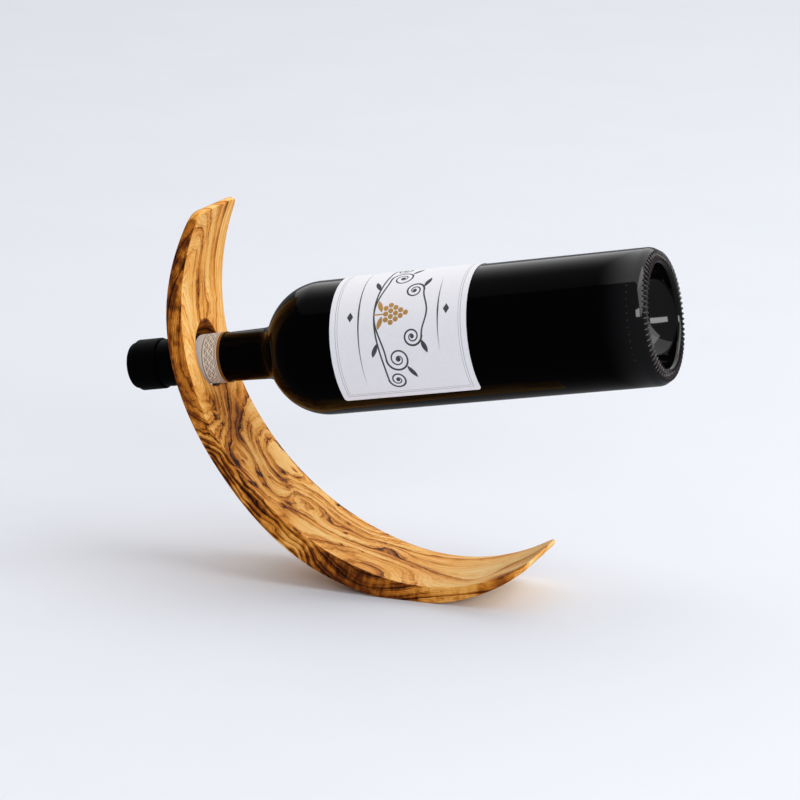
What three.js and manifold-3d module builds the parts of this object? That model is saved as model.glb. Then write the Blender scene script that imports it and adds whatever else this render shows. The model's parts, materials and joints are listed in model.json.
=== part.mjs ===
// A balancing wine bottle holder: one crescent of olive wood with a slanted hole near its upper horn.
// The bottle hangs in that hole by its neck, and its weight keeps the crescent standing on a short flat foot.
// Millimetres, +Z up, origin in the middle of the foot, +X from the bottle's neck towards its base.
import * as THREE from 'three';
import { mergeVertices } from 'three/addons/utils/BufferGeometryUtils.js';
import Module from 'manifold-3d';

const wasm = await Module();
wasm.setup();

// Crescent: the inner face runs in three arcs from the horn's end, down the back and out to the toe
const HORN_ARC_RADIUS = 133;
const HORN_ARC_LENGTH = 133;
const BACK_ARC_RADIUS = 158;
const BACK_ARC_LENGTH = 115;
const FOOT_ARC_RADIUS = 105;
const FOOT_ARC_LENGTH = 89;
const HORN_LEAN = 23.5; // degrees that the horn's end leans forward from upright

// Crescent: thickness of the wood at its two ends and at four places between them
const HORN_THICKNESS = 4.5;
const UPPER_PLACE = 55; // from the horn's end
const UPPER_THICKNESS = 9;
const LOWER_PLACE = 7; // from where the back's arc starts
const LOWER_THICKNESS = 9.5;
const BELLY_PLACE = 33; // before the back's arc ends
const BELLY_THICKNESS = 13.5;
const FOOT_PLACE = 32; // from where the foot's arc starts
const FOOT_THICKNESS = 9.5;
const TOE_THICKNESS = 2.5;

// Crescent: width, corners and edges
const WIDTH = 60;
const HORN_WIDTH = 52;
const HORN_TAPER_LENGTH = 150;
const HORN_CORNER = 5;
const TOE_CORNER = 9;
const END_ROUNDING = 2;
const EDGE_EASE = 0.8;
const FOOT_CUT = 1.2; // depth sanded off the lowest stretch to make the flat foot

// Neck hole
const HOLE_PLACE = 88.6; // from the horn's end
const DRILL_TILT = 32; // degrees between the drill and the face that it enters
const NECK_CLEARANCE = 0.35;

// Bottle: outside
const BODY_DIAMETER = 73.6;
const BODY_LENGTH = 192.5;
const HEEL_RADIUS = 6;
const BEARING_WIDTH = 1.2;
const PUNT_DEPTH = 24;
const PUNT_EDGE = 2;
const SHOULDER_RADIUS = 33;
const SHOULDER_FILLET = 10;
const NECK_LENGTH = 63.2; // from the end of the shoulder's fillet to the ring
const RING_LENGTH = 13.4;
const RING_STEP = 1.05;
const RING_CHAMFER = 0.8;
const LIP_LENGTH = 3.8;
const LIP_ROUNDING = 1.4;

// Bottle: inside, and the walls round the bore
const GLASS_WALL = 2.6;
const BASE_WALL = 4.5;
const INNER_HEEL_RADIUS = 5;
const BORE_DIAMETER = 18.5;
const NECK_WALL = 4.95;
const UPPER_NECK_WALL = 3.35;
const LIP_WALL = 3.05;

// Bottle: how it hangs
const BOTTLE_TILT = 9.9; // degrees, with the neck low
const SEAT_PLACE = 39.3; // from the end of the shoulder's fillet to the middle of the neck hole

// Cork and wine
const CORK_LENGTH = 44;
const CORK_CHAMFER = 0.8;
const CORK_RECESS = 0.5;
const CORK_GAP = 0.25;
const WINE_GAP = 0.3;
const AIR_DEPTH = 11; // height of the air left under the high side of the tilted bottle

// Capsule, neck strip and front label
const FOIL_GAP = 0.25;
const FOIL_THICKNESS = 0.35;
const PAPER_GAP = 0.25;
const PAPER_THICKNESS = 0.3;
const STRIP_PLACE = 22.6; // from the end of the shoulder's fillet
const STRIP_WIDTH = 15.5;
const SKIRT_GAP = 0.6;
const LABEL_DROP = 16.6; // from the end of the straight body
const LABEL_HEIGHT = 78.5;
const LABEL_WIDTH = 99;
const LABEL_TURN = 56; // degrees from the bottle's upper side to the middle of the label

// Facets
const STATIONS = 72;
const ROUND = 48;
const CORK_ROUND = 32;
const LABEL_STEPS = 28;
const WELD = 1e-4;
const CUTTER = 600; // size of the blocks that cut the foot and the wine's level

const rad = THREE.MathUtils.degToRad;

/** The geometry with its shared corners welded and its empty triangles dropped. */
function welded(geometry) {
  const bare = new THREE.BufferGeometry();
  bare.setAttribute('position', geometry.getAttribute('position').clone());
  if (geometry.index) bare.setIndex(geometry.index.clone());
  const merged = mergeVertices(bare, WELD);
  const index = [];
  for (let i = 0; i < merged.index.count; i += 3) {
    const [a, b, c] = [0, 1, 2].map((k) => merged.index.getX(i + k));
    if (a !== b && b !== c && c !== a) index.push(a, b, c);
  }
  merged.setIndex(index);
  return merged;
}

/** The geometry as a solid that can be cut. */
function toSolid(geometry) {
  const merged = welded(geometry);
  return new wasm.Manifold(new wasm.Mesh({
    numProp: 3,
    vertProperties: new Float32Array(merged.getAttribute('position').array),
    triVerts: new Uint32Array(merged.index.array),
  }));
}

/** A cut solid as a geometry again. */
function toGeometry(solid) {
  const mesh = solid.getMesh();
  const geometry = new THREE.BufferGeometry();
  geometry.setAttribute('position', new THREE.BufferAttribute(mesh.vertProperties, 3));
  geometry.setIndex(new THREE.BufferAttribute(mesh.triVerts, 1));
  geometry.computeVertexNormals();
  return geometry;
}

/** A named mesh with its own finish. */
function piece(name, geometry, colour, roughness, metalness = 0) {
  const material = new THREE.MeshStandardMaterial({ color: colour, roughness, metalness });
  const mesh = new THREE.Mesh(geometry, material);
  mesh.name = name;
  return mesh;
}

/** Points of an arc in a profile, angles in radians from the first axis. */
function arc(x, y, radius, from, to, steps) {
  return Array.from({ length: steps + 1 }, (_, i) => {
    const angle = from + ((to - from) * i) / steps;
    return new THREE.Vector2(x + radius * Math.cos(angle), y + radius * Math.sin(angle));
  });
}

/** A profile of radius and height, turned about the bottle's axis, which is local Z. */
function turned(profile, steps = ROUND) {
  return welded(new THREE.LatheGeometry(profile, steps).rotateX(Math.PI / 2));
}

// Levels and radii along the bottle, whose bearing ring is at zero

const bore = BORE_DIAMETER / 2;
const lowerNeck = bore + NECK_WALL;
const upperNeck = bore + UPPER_NECK_WALL;
const ringRadius = upperNeck + RING_STEP;
const lipRadius = bore + LIP_WALL;
const bearingRadius = BODY_DIAMETER / 2 - HEEL_RADIUS;
const puntRadius = bearingRadius - BEARING_WIDTH - PUNT_EDGE;
const shoulderEnd = shoulderArcs(0, lowerNeck).end;
const ringStart = shoulderEnd + NECK_LENGTH;
const ringEnd = ringStart + RING_LENGTH;
const mouth = ringEnd + LIP_LENGTH;
const corkTop = mouth - CORK_RECESS;
const corkEnd = corkTop - CORK_LENGTH;
const stripStart = shoulderEnd + STRIP_PLACE;
const stripEnd = stripStart + STRIP_WIDTH;
const skirt = stripEnd + SKIRT_GAP;

/** Outside radius of the glass neck, which tapers from the shoulder to the ring. */
function neckRadius(place) {
  return THREE.MathUtils.mapLinear(place, shoulderEnd, ringStart, lowerNeck, upperNeck);
}

/** Shoulder from the body into a neck of this radius, set in from the outside of the glass. */
function shoulderArcs(inset, radius) {
  const round = SHOULDER_RADIUS - inset;
  const middle = BODY_DIAMETER / 2 - SHOULDER_RADIUS;
  const across = radius + SHOULDER_FILLET - middle;
  const rise = Math.sqrt((round + SHOULDER_FILLET) ** 2 - across ** 2);
  const turn = Math.atan2(rise, across);
  const end = BODY_LENGTH + rise;
  const points = [
    ...arc(middle, BODY_LENGTH, round, 0, turn, 9),
    ...arc(radius + SHOULDER_FILLET, end, SHOULDER_FILLET, turn + Math.PI, Math.PI, 5).slice(1),
  ];
  return { points, end };
}

// Crescent

const ARCS = [
  [HORN_ARC_RADIUS, HORN_ARC_LENGTH],
  [BACK_ARC_RADIUS, BACK_ARC_LENGTH],
  [FOOT_ARC_RADIUS, FOOT_ARC_LENGTH],
];
const BACK_START = HORN_ARC_LENGTH;
const FOOT_START = BACK_START + BACK_ARC_LENGTH;
const LENGTH = FOOT_START + FOOT_ARC_LENGTH;
const thicknessLaw = new THREE.CubicInterpolant(
  [0, UPPER_PLACE, BACK_START + LOWER_PLACE, FOOT_START - BELLY_PLACE, FOOT_START + FOOT_PLACE, LENGTH],
  [HORN_THICKNESS, UPPER_THICKNESS, LOWER_THICKNESS, BELLY_THICKNESS, FOOT_THICKNESS, TOE_THICKNESS],
  1,
);

/** Thickness of the wood at a place along the inner face. */
function thicknessAt(place) {
  return thicknessLaw.evaluate(place)[0];
}

/** Point of the inner face, counted from the horn's end, and the unit vector from there into the wood. */
function innerPose(place) {
  const point = new THREE.Vector2();
  let heading = -rad(90 + HORN_LEAN);
  let left = place;
  ARCS.forEach(([radius, length], i) => {
    const run = i === ARCS.length - 1 ? left : Math.min(left, length);
    const next = heading + run / radius;
    point.x += radius * (Math.sin(next) - Math.sin(heading));
    point.y -= radius * (Math.cos(next) - Math.cos(heading));
    heading = next;
    left -= run;
  });
  return { point, outward: new THREE.Vector2(Math.sin(heading), -Math.cos(heading)) };
}

/** How far a round of this radius draws an edge in, at a distance from the end that it rounds. */
function drawnIn(radius, distance) {
  const rest = Math.max(radius - distance, 0);
  return radius - Math.sqrt(Math.max(radius ** 2 - rest ** 2, 0));
}

/** Half of the crescent's width at a place along it. */
function halfWidthAt(place) {
  const taper = Math.max(1 - place / HORN_TAPER_LENGTH, 0) ** 2;
  const straight = WIDTH / 2 - ((WIDTH - HORN_WIDTH) / 2) * taper;
  return straight - drawnIn(HORN_CORNER, place) - drawnIn(TOE_CORNER, LENGTH - place);
}

/** The wood's section at a place: its two faces and its half width, before the frame is set. */
function section(place) {
  const { point, outward } = innerPose(place);
  const wall = thicknessAt(place);
  const endRound = Math.min(END_ROUNDING, wall / 2);
  const thick = wall - drawnIn(endRound, place) - drawnIn(endRound, LENGTH - place);
  const outer = point.clone().addScaledVector(outward, thick);
  return { inner: point, outer, outward, thick, half: halfWidthAt(place) };
}

// Stations stand closer together towards the two ends, where the corners are round
const sections = Array.from({ length: STATIONS + 1 }, (_, i) =>
  section((LENGTH / 2) * (1 - Math.cos((Math.PI * i) / STATIONS))));

/** Middle of the flat foot, where the lowest stretch of the outer face is sanded off. */
function footMiddle() {
  const floor = Math.min(...sections.map(({ outer }) => outer.y)) + FOOT_CUT;
  const ends = [];
  for (let i = 1; i < sections.length; i += 1) {
    const [a, b] = [sections[i - 1].outer, sections[i].outer];
    if ((a.y - floor) * (b.y - floor) < 0) ends.push(a.x + ((b.x - a.x) * (floor - a.y)) / (b.y - a.y));
  }
  return new THREE.Vector2((ends[0] + ends[ends.length - 1]) / 2, floor);
}

const foot = footMiddle();

/** Loft of eased rectangular sections, from the horn to the toe. */
function crescentLoft() {
  const corners = sections.flatMap(({ inner, outer, outward, thick, half }) => {
    const ease = Math.min(EDGE_EASE, thick / 4);
    const innerStep = inner.clone().addScaledVector(outward, ease);
    const outerStep = outer.clone().addScaledVector(outward, -ease);
    const ring = [
      [inner, ease - half], [inner, half - ease], [innerStep, half], [outerStep, half],
      [outer, half - ease], [outer, ease - half], [outerStep, -half], [innerStep, -half],
    ];
    return ring.map(([p, y]) => [p.x - foot.x, y, p.y - foot.y]);
  });
  const sides = corners.length / sections.length;
  const index = [];
  for (let i = 0; i < sections.length - 1; i += 1) {
    for (let k = 0; k < sides; k += 1) {
      const [a, b] = [i * sides + k, i * sides + ((k + 1) % sides)];
      index.push(a, b + sides, b, a, a + sides, b + sides);
    }
  }
  const last = corners.length - sides;
  for (let k = 1; k < sides - 1; k += 1) {
    index.push(0, k, k + 1, last, last + k + 1, last + k);
  }
  const geometry = new THREE.BufferGeometry();
  geometry.setAttribute('position', new THREE.Float32BufferAttribute(corners.flat(), 3));
  geometry.setIndex(index);
  return geometry;
}

// Neck hole: slanted so that its lower lip on the inner face and its upper lip on the outer face
// both stand just clear of the widest thing on the neck that slides through

const hole = section(HOLE_PLACE);
const tilt = rad(BOTTLE_TILT);
const axis = new THREE.Vector2(Math.cos(tilt), Math.sin(tilt));
const seat = hole.inner.clone().add(hole.outer).divideScalar(2).sub(foot);
const coveredRing = ringRadius + FOIL_GAP + FOIL_THICKNESS;
const coveredNeck = neckRadius(stripStart) + PAPER_GAP + PAPER_THICKNESS;
const lipReach = Math.max(coveredRing, coveredNeck) + NECK_CLEARANCE;

// Seen along the bottle, a lip is an ellipse that is set off the neck's axis and stretched by the slant.
// It comes nearest to the neck's circle at its middle, or at two places beside it where it is slimmer.
const faceAngle = hole.outward.clone().negate().angle();
const drillTilt = rad(DRILL_TILT);
const slant = tilt - faceAngle;
const lipSet = (hole.thick / 2) * (Math.tan(drillTilt) * Math.cos(slant) - Math.sin(slant));
const stretch = Math.cos(slant) / Math.cos(drillTilt);
const middleRadius = (lipReach + lipSet) / stretch;
const besideRadius = Math.hypot(lipReach, lipSet / Math.sqrt(stretch ** 2 - 1));
const isBeside = stretch * lipSet < middleRadius * (stretch ** 2 - 1);
const holeRadius = isBeside ? besideRadius : middleRadius;
const touchHeight = isBeside ? lipSet / (stretch ** 2 - 1) : lipReach;
const lipBow = touchHeight ** 2 / (2 * HORN_ARC_RADIUS);

/** The drill, leaning back from the face that it enters. */
function drill() {
  const centre = seat.clone().addScaledVector(axis, lipBow);
  const angle = faceAngle + drillTilt;
  return new THREE.CylinderGeometry(holeRadius, holeRadius, WIDTH, ROUND)
    .rotateZ(-Math.PI / 2)
    .rotateY(-angle)
    .translate(centre.x, 0, centre.y);
}

const floorBlock = new THREE.BoxGeometry(CUTTER, CUTTER, CUTTER).translate(0, 0, -CUTTER / 2);
const crescent = toGeometry(
  toSolid(crescentLoft()).subtract(toSolid(floorBlock)).subtract(toSolid(drill())),
);

// Bottle, in its own frame: local Z runs from the bearing ring to the mouth, local X is its upper side

/** Dome of the punt, from its top on the axis down to its edge. */
function dome(edgeRadius, edgeHeight, depth) {
  const round = (edgeRadius ** 2 + depth ** 2) / (2 * depth);
  const turn = Math.asin(edgeRadius / round);
  return arc(0, edgeHeight + depth - round, round, Math.PI / 2, Math.PI / 2 - turn, 7);
}

/** Outline of the inside of the glass, set in by a gap, from the punt's top up to the neck. */
function cavityOutline(gap) {
  const radius = BODY_DIAMETER / 2 - GLASS_WALL - gap;
  const floor = PUNT_EDGE + BASE_WALL + gap;
  const heel = INNER_HEEL_RADIUS - gap;
  const edge = Math.min(puntRadius, radius - heel);
  const points = [
    ...dome(edge, floor, PUNT_DEPTH),
    ...arc(radius - heel, floor + heel, heel, -Math.PI / 2, 0, 4),
    ...shoulderArcs(GLASS_WALL + gap, bore - gap).points,
  ];
  points[0].x = 0;
  return points;
}

/** Outline of the top of the neck: ring, lip and rounded mouth, swollen by the thickness of a cover. */
function finishOutline(cover) {
  const ring = ringRadius + cover;
  const lip = lipRadius + cover;
  const round = Math.min(LIP_ROUNDING, LIP_WALL / 2) + cover;
  return [
    new THREE.Vector2(upperNeck + cover, ringStart - cover),
    new THREE.Vector2(ring - RING_CHAMFER, ringStart - cover),
    new THREE.Vector2(ring, ringStart + RING_CHAMFER - cover),
    new THREE.Vector2(ring, ringEnd - RING_CHAMFER + cover),
    new THREE.Vector2(ring - RING_CHAMFER, ringEnd + cover),
    new THREE.Vector2(lip, ringEnd + cover),
    ...arc(lip - round, mouth + cover - round, round, 0, Math.PI / 2, 3),
  ];
}

/** Hollow glass with a punt and an open mouth. */
function glass() {
  const outside = [
    ...dome(puntRadius, PUNT_EDGE, PUNT_DEPTH),
    ...arc(bearingRadius - BEARING_WIDTH, PUNT_EDGE, PUNT_EDGE, Math.PI, 1.5 * Math.PI, 3).slice(1),
    ...arc(bearingRadius, HEEL_RADIUS, HEEL_RADIUS, -Math.PI / 2, 0, 5),
    ...shoulderArcs(0, lowerNeck).points,
    ...finishOutline(0),
    new THREE.Vector2(bore, mouth),
  ];
  outside[0].x = 0;
  return turned([...outside, ...cavityOutline(0).reverse()]);
}

/** Thin capsule over the mouth and the ring, open at its skirt. */
function capsule() {
  const cover = FOIL_GAP + FOIL_THICKNESS;
  return turned([
    new THREE.Vector2(0, mouth + FOIL_GAP),
    ...finishOutline(FOIL_GAP).reverse(),
    new THREE.Vector2(neckRadius(skirt) + FOIL_GAP, skirt),
    new THREE.Vector2(neckRadius(skirt) + cover, skirt),
    ...finishOutline(cover),
    new THREE.Vector2(0, mouth + cover),
  ]);
}

/** Cork in the bore, a little below the mouth. */
function cork() {
  const radius = bore - CORK_GAP;
  return turned([
    new THREE.Vector2(0, corkEnd),
    new THREE.Vector2(radius - CORK_CHAMFER, corkEnd),
    new THREE.Vector2(radius, corkEnd + CORK_CHAMFER),
    new THREE.Vector2(radius, corkTop - CORK_CHAMFER),
    new THREE.Vector2(radius - CORK_CHAMFER, corkTop),
    new THREE.Vector2(0, corkTop),
  ], CORK_ROUND);
}

/** Wine up to the cork, level in the tilted bottle, with a pocket of air under its high side. */
function wine() {
  const outline = cavityOutline(WINE_GAP);
  const end = corkEnd - WINE_GAP;
  const filled = turned([
    ...outline,
    new THREE.Vector2(bore - WINE_GAP, end),
    new THREE.Vector2(0, end),
  ]);
  const up = new THREE.Vector3(Math.cos(tilt), 0, -Math.sin(tilt));
  const highest = Math.max(...outline.map((p) => p.x * up.x + p.y * up.z));
  const below = new THREE.BoxGeometry(CUTTER, CUTTER, CUTTER)
    .translate(0, 0, -CUTTER / 2)
    .rotateY(Math.PI / 2 + tilt)
    .translate(up.x * (highest - AIR_DEPTH), 0, up.z * (highest - AIR_DEPTH));
  return toGeometry(toSolid(filled).intersect(toSolid(below)));
}

/** Paper strip round the neck, next to the capsule's skirt. */
function neckStrip() {
  const wide = neckRadius(stripStart) + PAPER_GAP;
  const narrow = neckRadius(stripEnd) + PAPER_GAP;
  return turned([
    new THREE.Vector2(wide, stripStart),
    new THREE.Vector2(wide + PAPER_THICKNESS, stripStart),
    new THREE.Vector2(narrow + PAPER_THICKNESS, stripEnd),
    new THREE.Vector2(narrow, stripEnd),
    new THREE.Vector2(wide, stripStart),
  ]);
}

/** Paper label round part of the body, towards the front and the upper side. */
function frontLabel() {
  const inside = BODY_DIAMETER / 2 + PAPER_GAP;
  const spread = LABEL_WIDTH / (inside + PAPER_THICKNESS) / 2;
  const middle = -rad(LABEL_TURN);
  const sheet = new THREE.Shape([
    ...arc(0, 0, inside + PAPER_THICKNESS, middle - spread, middle + spread, LABEL_STEPS),
    ...arc(0, 0, inside, middle + spread, middle - spread, LABEL_STEPS),
  ]);
  return new THREE.ExtrudeGeometry(sheet, { depth: LABEL_HEIGHT, bevelEnabled: false })
    .translate(0, 0, BODY_LENGTH - LABEL_DROP - LABEL_HEIGHT);
}

const bottle = new THREE.Group();
bottle.add(
  piece('bottle_glass', glass(), 0x0c0a0a, 0.08),
  piece('wine', wine(), 0x2a0509, 0.1),
  piece('cork', cork(), 0xb48a5c, 0.9),
  piece('capsule', capsule(), 0x141416, 0.55),
  piece('neck_strip', neckStrip(), 0xd9d0c0, 0.85),
  piece('front_label', frontLabel(), 0xe4e6ea, 0.8),
);
const base = seat.clone().addScaledVector(axis, shoulderEnd + SEAT_PLACE);
bottle.position.set(base.x, 0, base.y);
bottle.rotation.y = -(Math.PI / 2 + tilt);

const holder = new THREE.Group();
holder.add(piece('crescent', crescent, 0xb9803c, 0.45), bottle);

export default holder;
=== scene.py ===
"""Looks of a balancing wine bottle holder: an olive-wood crescent with a bottle hung in it by the neck.

Sizes in the classes are millimetres and degrees, apart from the studio's, which are metres. Meshes are metres
too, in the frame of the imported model.
"""

import json
import logging
import math
from dataclasses import dataclass, field
from enum import Enum
from typing import Optional, Union

import bmesh
import bpy
from mathutils import Matrix, Vector


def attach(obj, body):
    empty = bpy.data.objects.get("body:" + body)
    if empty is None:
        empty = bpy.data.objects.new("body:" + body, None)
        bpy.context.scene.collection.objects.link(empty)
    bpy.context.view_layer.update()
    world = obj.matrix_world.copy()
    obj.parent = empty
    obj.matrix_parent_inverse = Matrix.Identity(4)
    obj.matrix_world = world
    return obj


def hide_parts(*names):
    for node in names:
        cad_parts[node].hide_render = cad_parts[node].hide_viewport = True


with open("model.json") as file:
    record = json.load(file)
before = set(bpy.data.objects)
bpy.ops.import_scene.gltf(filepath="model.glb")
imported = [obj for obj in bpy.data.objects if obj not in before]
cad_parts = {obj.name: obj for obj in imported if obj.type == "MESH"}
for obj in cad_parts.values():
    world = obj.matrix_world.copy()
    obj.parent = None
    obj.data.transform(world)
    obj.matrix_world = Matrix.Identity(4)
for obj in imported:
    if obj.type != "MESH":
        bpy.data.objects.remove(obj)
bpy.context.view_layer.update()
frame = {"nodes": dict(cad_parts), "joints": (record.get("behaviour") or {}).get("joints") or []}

MM = 0.001
ROLL_JOINT = "bottle_roll"
LOG = logging.getLogger("bottle_holder")
Colour = tuple[float, float, float]
Profile = list[tuple[float, float]]
Value = Union["Wire", float]
Mounds = tuple[tuple[tuple[float, float], tuple[tuple[float, float, float], ...]], ...]


class Body(Enum):
    """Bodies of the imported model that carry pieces."""

    HOLDER = "holder"
    BOTTLE = "bottle"


class Slot(Enum):
    """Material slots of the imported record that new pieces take."""

    WOOD = "olive_wood"
    GLASS = "dark_glass"
    CAPSULE = "black_capsule"
    STRIP = "strip_paper"
    LABEL = "label_paper"


def seen(red: float, green: float, blue: float) -> Colour:
    """A colour as it is seen on a screen, 0 to 255, in linear light."""
    parts = (red / 255, green / 255, blue / 255)
    return tuple(p / 12.92 if p <= 0.04045 else ((p + 0.055) / 1.055) ** 2.4 for p in parts)


# Shader tools


class Wire:
    """A shader output that takes part in Python sums."""

    def __init__(self, sheet: "NodeSheet", socket: Optional[bpy.types.NodeSocket]) -> None:
        """Keeps the socket and the sheet that it belongs to."""
        self.sheet = sheet
        self.socket = socket

    def _sum(self, operation: str, first: Value, second: Value = 0.0) -> "Wire":
        """A Math node on one or two values."""
        return self.sheet.node("Math", {"operation": operation}, {0: first, 1: second})

    def __add__(self, other: Value) -> "Wire":
        """self + other."""
        return self._sum("ADD", self, other)

    def __radd__(self, other: Value) -> "Wire":
        """other + self."""
        return self._sum("ADD", other, self)

    def __sub__(self, other: Value) -> "Wire":
        """self - other."""
        return self._sum("SUBTRACT", self, other)

    def __rsub__(self, other: Value) -> "Wire":
        """other - self."""
        return self._sum("SUBTRACT", other, self)

    def __mul__(self, other: Value) -> "Wire":
        """self * other."""
        return self._sum("MULTIPLY", self, other)

    def __truediv__(self, other: Value) -> "Wire":
        """self / other."""
        return self._sum("DIVIDE", self, other)

    def __pow__(self, other: Value) -> "Wire":
        """self ** other."""
        return self._sum("POWER", self, other)

    def __neg__(self) -> "Wire":
        """-self."""
        return self._sum("MULTIPLY", self, -1.0)

    def __abs__(self) -> "Wire":
        """abs(self)."""
        return self._sum("ABSOLUTE", self)

    def floor(self) -> "Wire":
        """The whole number below."""
        return self._sum("FLOOR", self)

    def sine(self) -> "Wire":
        """Sine of an angle in radians."""
        return self._sum("SINE", self)

    def exp(self) -> "Wire":
        """The exponential."""
        return self._sum("EXPONENT", self)

    def least(self, other: Value) -> "Wire":
        """The smaller of two."""
        return self._sum("MINIMUM", self, other)

    def most(self, other: Value) -> "Wire":
        """The larger of two."""
        return self._sum("MAXIMUM", self, other)

    def ramp(self, start: float, end: float, low: float = 0.0, high: float = 1.0) -> "Wire":
        """A smooth step from low at start to high at end."""
        return self.sheet.node(
            "MapRange", {"interpolation_type": "SMOOTHSTEP"}, {0: self, 1: start, 2: end, 3: low, 4: high}
        )

    def line(self, middle: Value, half: float, soft: float) -> "Wire":
        """1 within half of the middle, 0 beyond a soft edge."""
        return abs(self - middle).ramp(half, half + soft, 1.0, 0.0)


class NodeSheet:
    """The node tree of one material."""

    def __init__(self, name: str) -> None:
        """Starts an empty material of this name."""
        self.material = bpy.data.materials.new(name)
        self.material.use_nodes = True
        self.tree = self.material.node_tree
        self.tree.nodes.clear()

    def node(
        self,
        kind: str,
        settings: Optional[dict[str, object]] = None,
        inputs: Optional[dict[Union[int, str], object]] = None,
        output: Union[int, str] = 0,
    ) -> Wire:
        """Adds a node.

        Args:
            kind: type of the node, without its ShaderNode prefix.
            settings: properties of the node and a ramp's stops, set first.
            inputs: values or links of its sockets.
            output: the output to hand on.

        Returns:
            That output.
        """
        made = self.tree.nodes.new("ShaderNode" + kind)
        for key, value in (settings or {}).items():
            if key == "stops":
                elements = made.color_ramp.elements
                for _ in range(len(value) - len(elements)):
                    elements.new(0.5)
                for element, (place, colour) in zip(elements, value):
                    element.position, element.color = place, (*colour, 1.0)
            else:
                setattr(made, key, value)
        for key, value in (inputs or {}).items():
            if isinstance(value, Wire):
                self.tree.links.new(value.socket, made.inputs[key])
            else:
                made.inputs[key].default_value = value
        return Wire(self, made.outputs[output] if made.outputs else None)

    def place(self, rig: Optional["Rig"] = None) -> Wire:
        """Object coordinates in millimetres.

        Args:
            rig: frame to read them in, or none for the model's own.

        Returns:
            A vector.
        """
        metres = self.node("TexCoord", output="Object")
        if rig is not None:
            metres = self.node(
                "Mapping",
                {"vector_type": "TEXTURE"},
                {"Vector": metres, "Location": rig.origin, "Rotation": rig.turn},
            )
        return self.node("VectorMath", {"operation": "SCALE"}, {0: metres, "Scale": 1.0 / MM})

    def split(self, vector: Wire) -> tuple[Wire, Wire, Wire]:
        """Takes a vector apart.

        Args:
            vector: any vector.

        Returns:
            Its three parts.
        """
        first = self.node("SeparateXYZ", inputs={0: vector})
        outputs = first.socket.node.outputs
        return first, Wire(self, outputs[1]), Wire(self, outputs[2])

    def join(self, x: Value, y: Value, z: Value) -> Wire:
        """A vector of three values."""
        return self.node("CombineXYZ", inputs={0: x, 1: y, 2: z})

    def turn(self, up: Value, right: Value) -> Wire:
        """Angle in radians of a direction."""
        return self.node("Math", {"operation": "ARCTAN2"}, {0: up, 1: right})

    def scaled(self, vector: Wire, size: tuple[float, float, float], shift: float) -> Wire:
        """Coordinates for a noise of this size, moved to another place in it by the shift."""
        parts = {0: vector, 1: tuple(1.0 / s for s in size), 2: (shift, shift * 0.7, shift * 1.3)}
        return self.node("VectorMath", {"operation": "MULTIPLY_ADD"}, parts)

    def noise(
        self,
        vector: Wire,
        size: tuple[float, float, float],
        detail: float = 1.0,
        rough: float = 0.5,
        shift: float = 0.0,
    ) -> Wire:
        """Smooth noise about zero.

        Args:
            vector: coordinates in millimetres.
            size: size of the noise along each of them.
            detail: octaves of finer noise.
            rough: strength of those.
            shift: another place in the same noise.

        Returns:
            A value of about -0.3 to 0.3.
        """
        scaled = self.scaled(vector, size, shift)
        inputs = {"Vector": scaled, "Scale": 1.0, "Detail": detail, "Roughness": rough}
        return self.node("TexNoise", inputs=inputs) - 0.5

    def shaken(
        self, vector: Wire, size: tuple[float, float, float], reach: tuple[float, float, float], shift: float
    ) -> Wire:
        """Coordinates moved about by smooth noise.

        Args:
            vector: coordinates in millimetres.
            size: size of the noise along each of them.
            reach: about twice how far they are moved.
            shift: another place in the same noise.

        Returns:
            The moved coordinates.
        """
        inputs = {"Vector": self.scaled(vector, size, shift), "Scale": 1.0, "Detail": 3.0}
        cloud = self.node("TexNoise", inputs=inputs, output="Color")
        moved = self.node("VectorMath", {"operation": "SUBTRACT"}, {0: cloud, 1: (0.5, 0.5, 0.5)})
        return self.node("VectorMath", {"operation": "MULTIPLY_ADD"}, {0: moved, 1: reach, 2: vector})

    def blend(self, share: Value, first: object, second: object) -> Wire:
        """A colour between two colours."""
        ends = [c if isinstance(c, Wire) else (*c, 1.0) for c in (first, second)]
        return self.node("Mix", {"data_type": "RGBA"}, {0: share, 6: ends[0], 7: ends[1]}, 2)

    def close(
        self, inputs: dict[str, object], height: Optional[Wire] = None, depth: float = 0.0
    ) -> bpy.types.Material:
        """Closes the tree with a surface.

        Args:
            inputs: values or links of the surface's sockets.
            height: relief, about 0 to 1.
            depth: depth of that relief in millimetres.

        Returns:
            The finished material.
        """
        linked = dict(inputs)
        if height is not None:
            linked["Normal"] = self.node("Bump", inputs={"Distance": depth * MM, "Height": height})
        self.node("OutputMaterial", inputs={0: self.node("BsdfPrincipled", inputs=linked)})
        return self.material


# Mesh tools


@dataclass(frozen=True)
class Rig:
    """A frame that a piece is made in, then set into the model."""

    origin: tuple[float, float, float]
    turn: tuple[float, float, float]

    @property
    def matrix(self) -> Matrix:
        """The frame's place in the model.

        Returns:
            A matrix that turns about X, then Y, then Z, and moves.
        """
        x, y, z = self.turn
        turned = Matrix.Rotation(z, 4, "Z") @ Matrix.Rotation(y, 4, "Y") @ Matrix.Rotation(x, 4, "X")
        return Matrix.Translation(self.origin) @ turned


def arc(x: float, y: float, radius: float, start: float, end: float, steps: int) -> Profile:
    """Points of an arc in a profile, angles in radians from the first axis."""
    angles = [start + (end - start) * i / steps for i in range(steps + 1)]
    return [(x + radius * math.cos(a), y + radius * math.sin(a)) for a in angles]


def drawn_in(radius: float, distance: float) -> float:
    """How far a round of this radius draws an edge in, at a distance from the end that it rounds."""
    rest = max(radius - distance, 0.0)
    return radius - math.sqrt(max(radius**2 - rest**2, 0.0))


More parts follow.
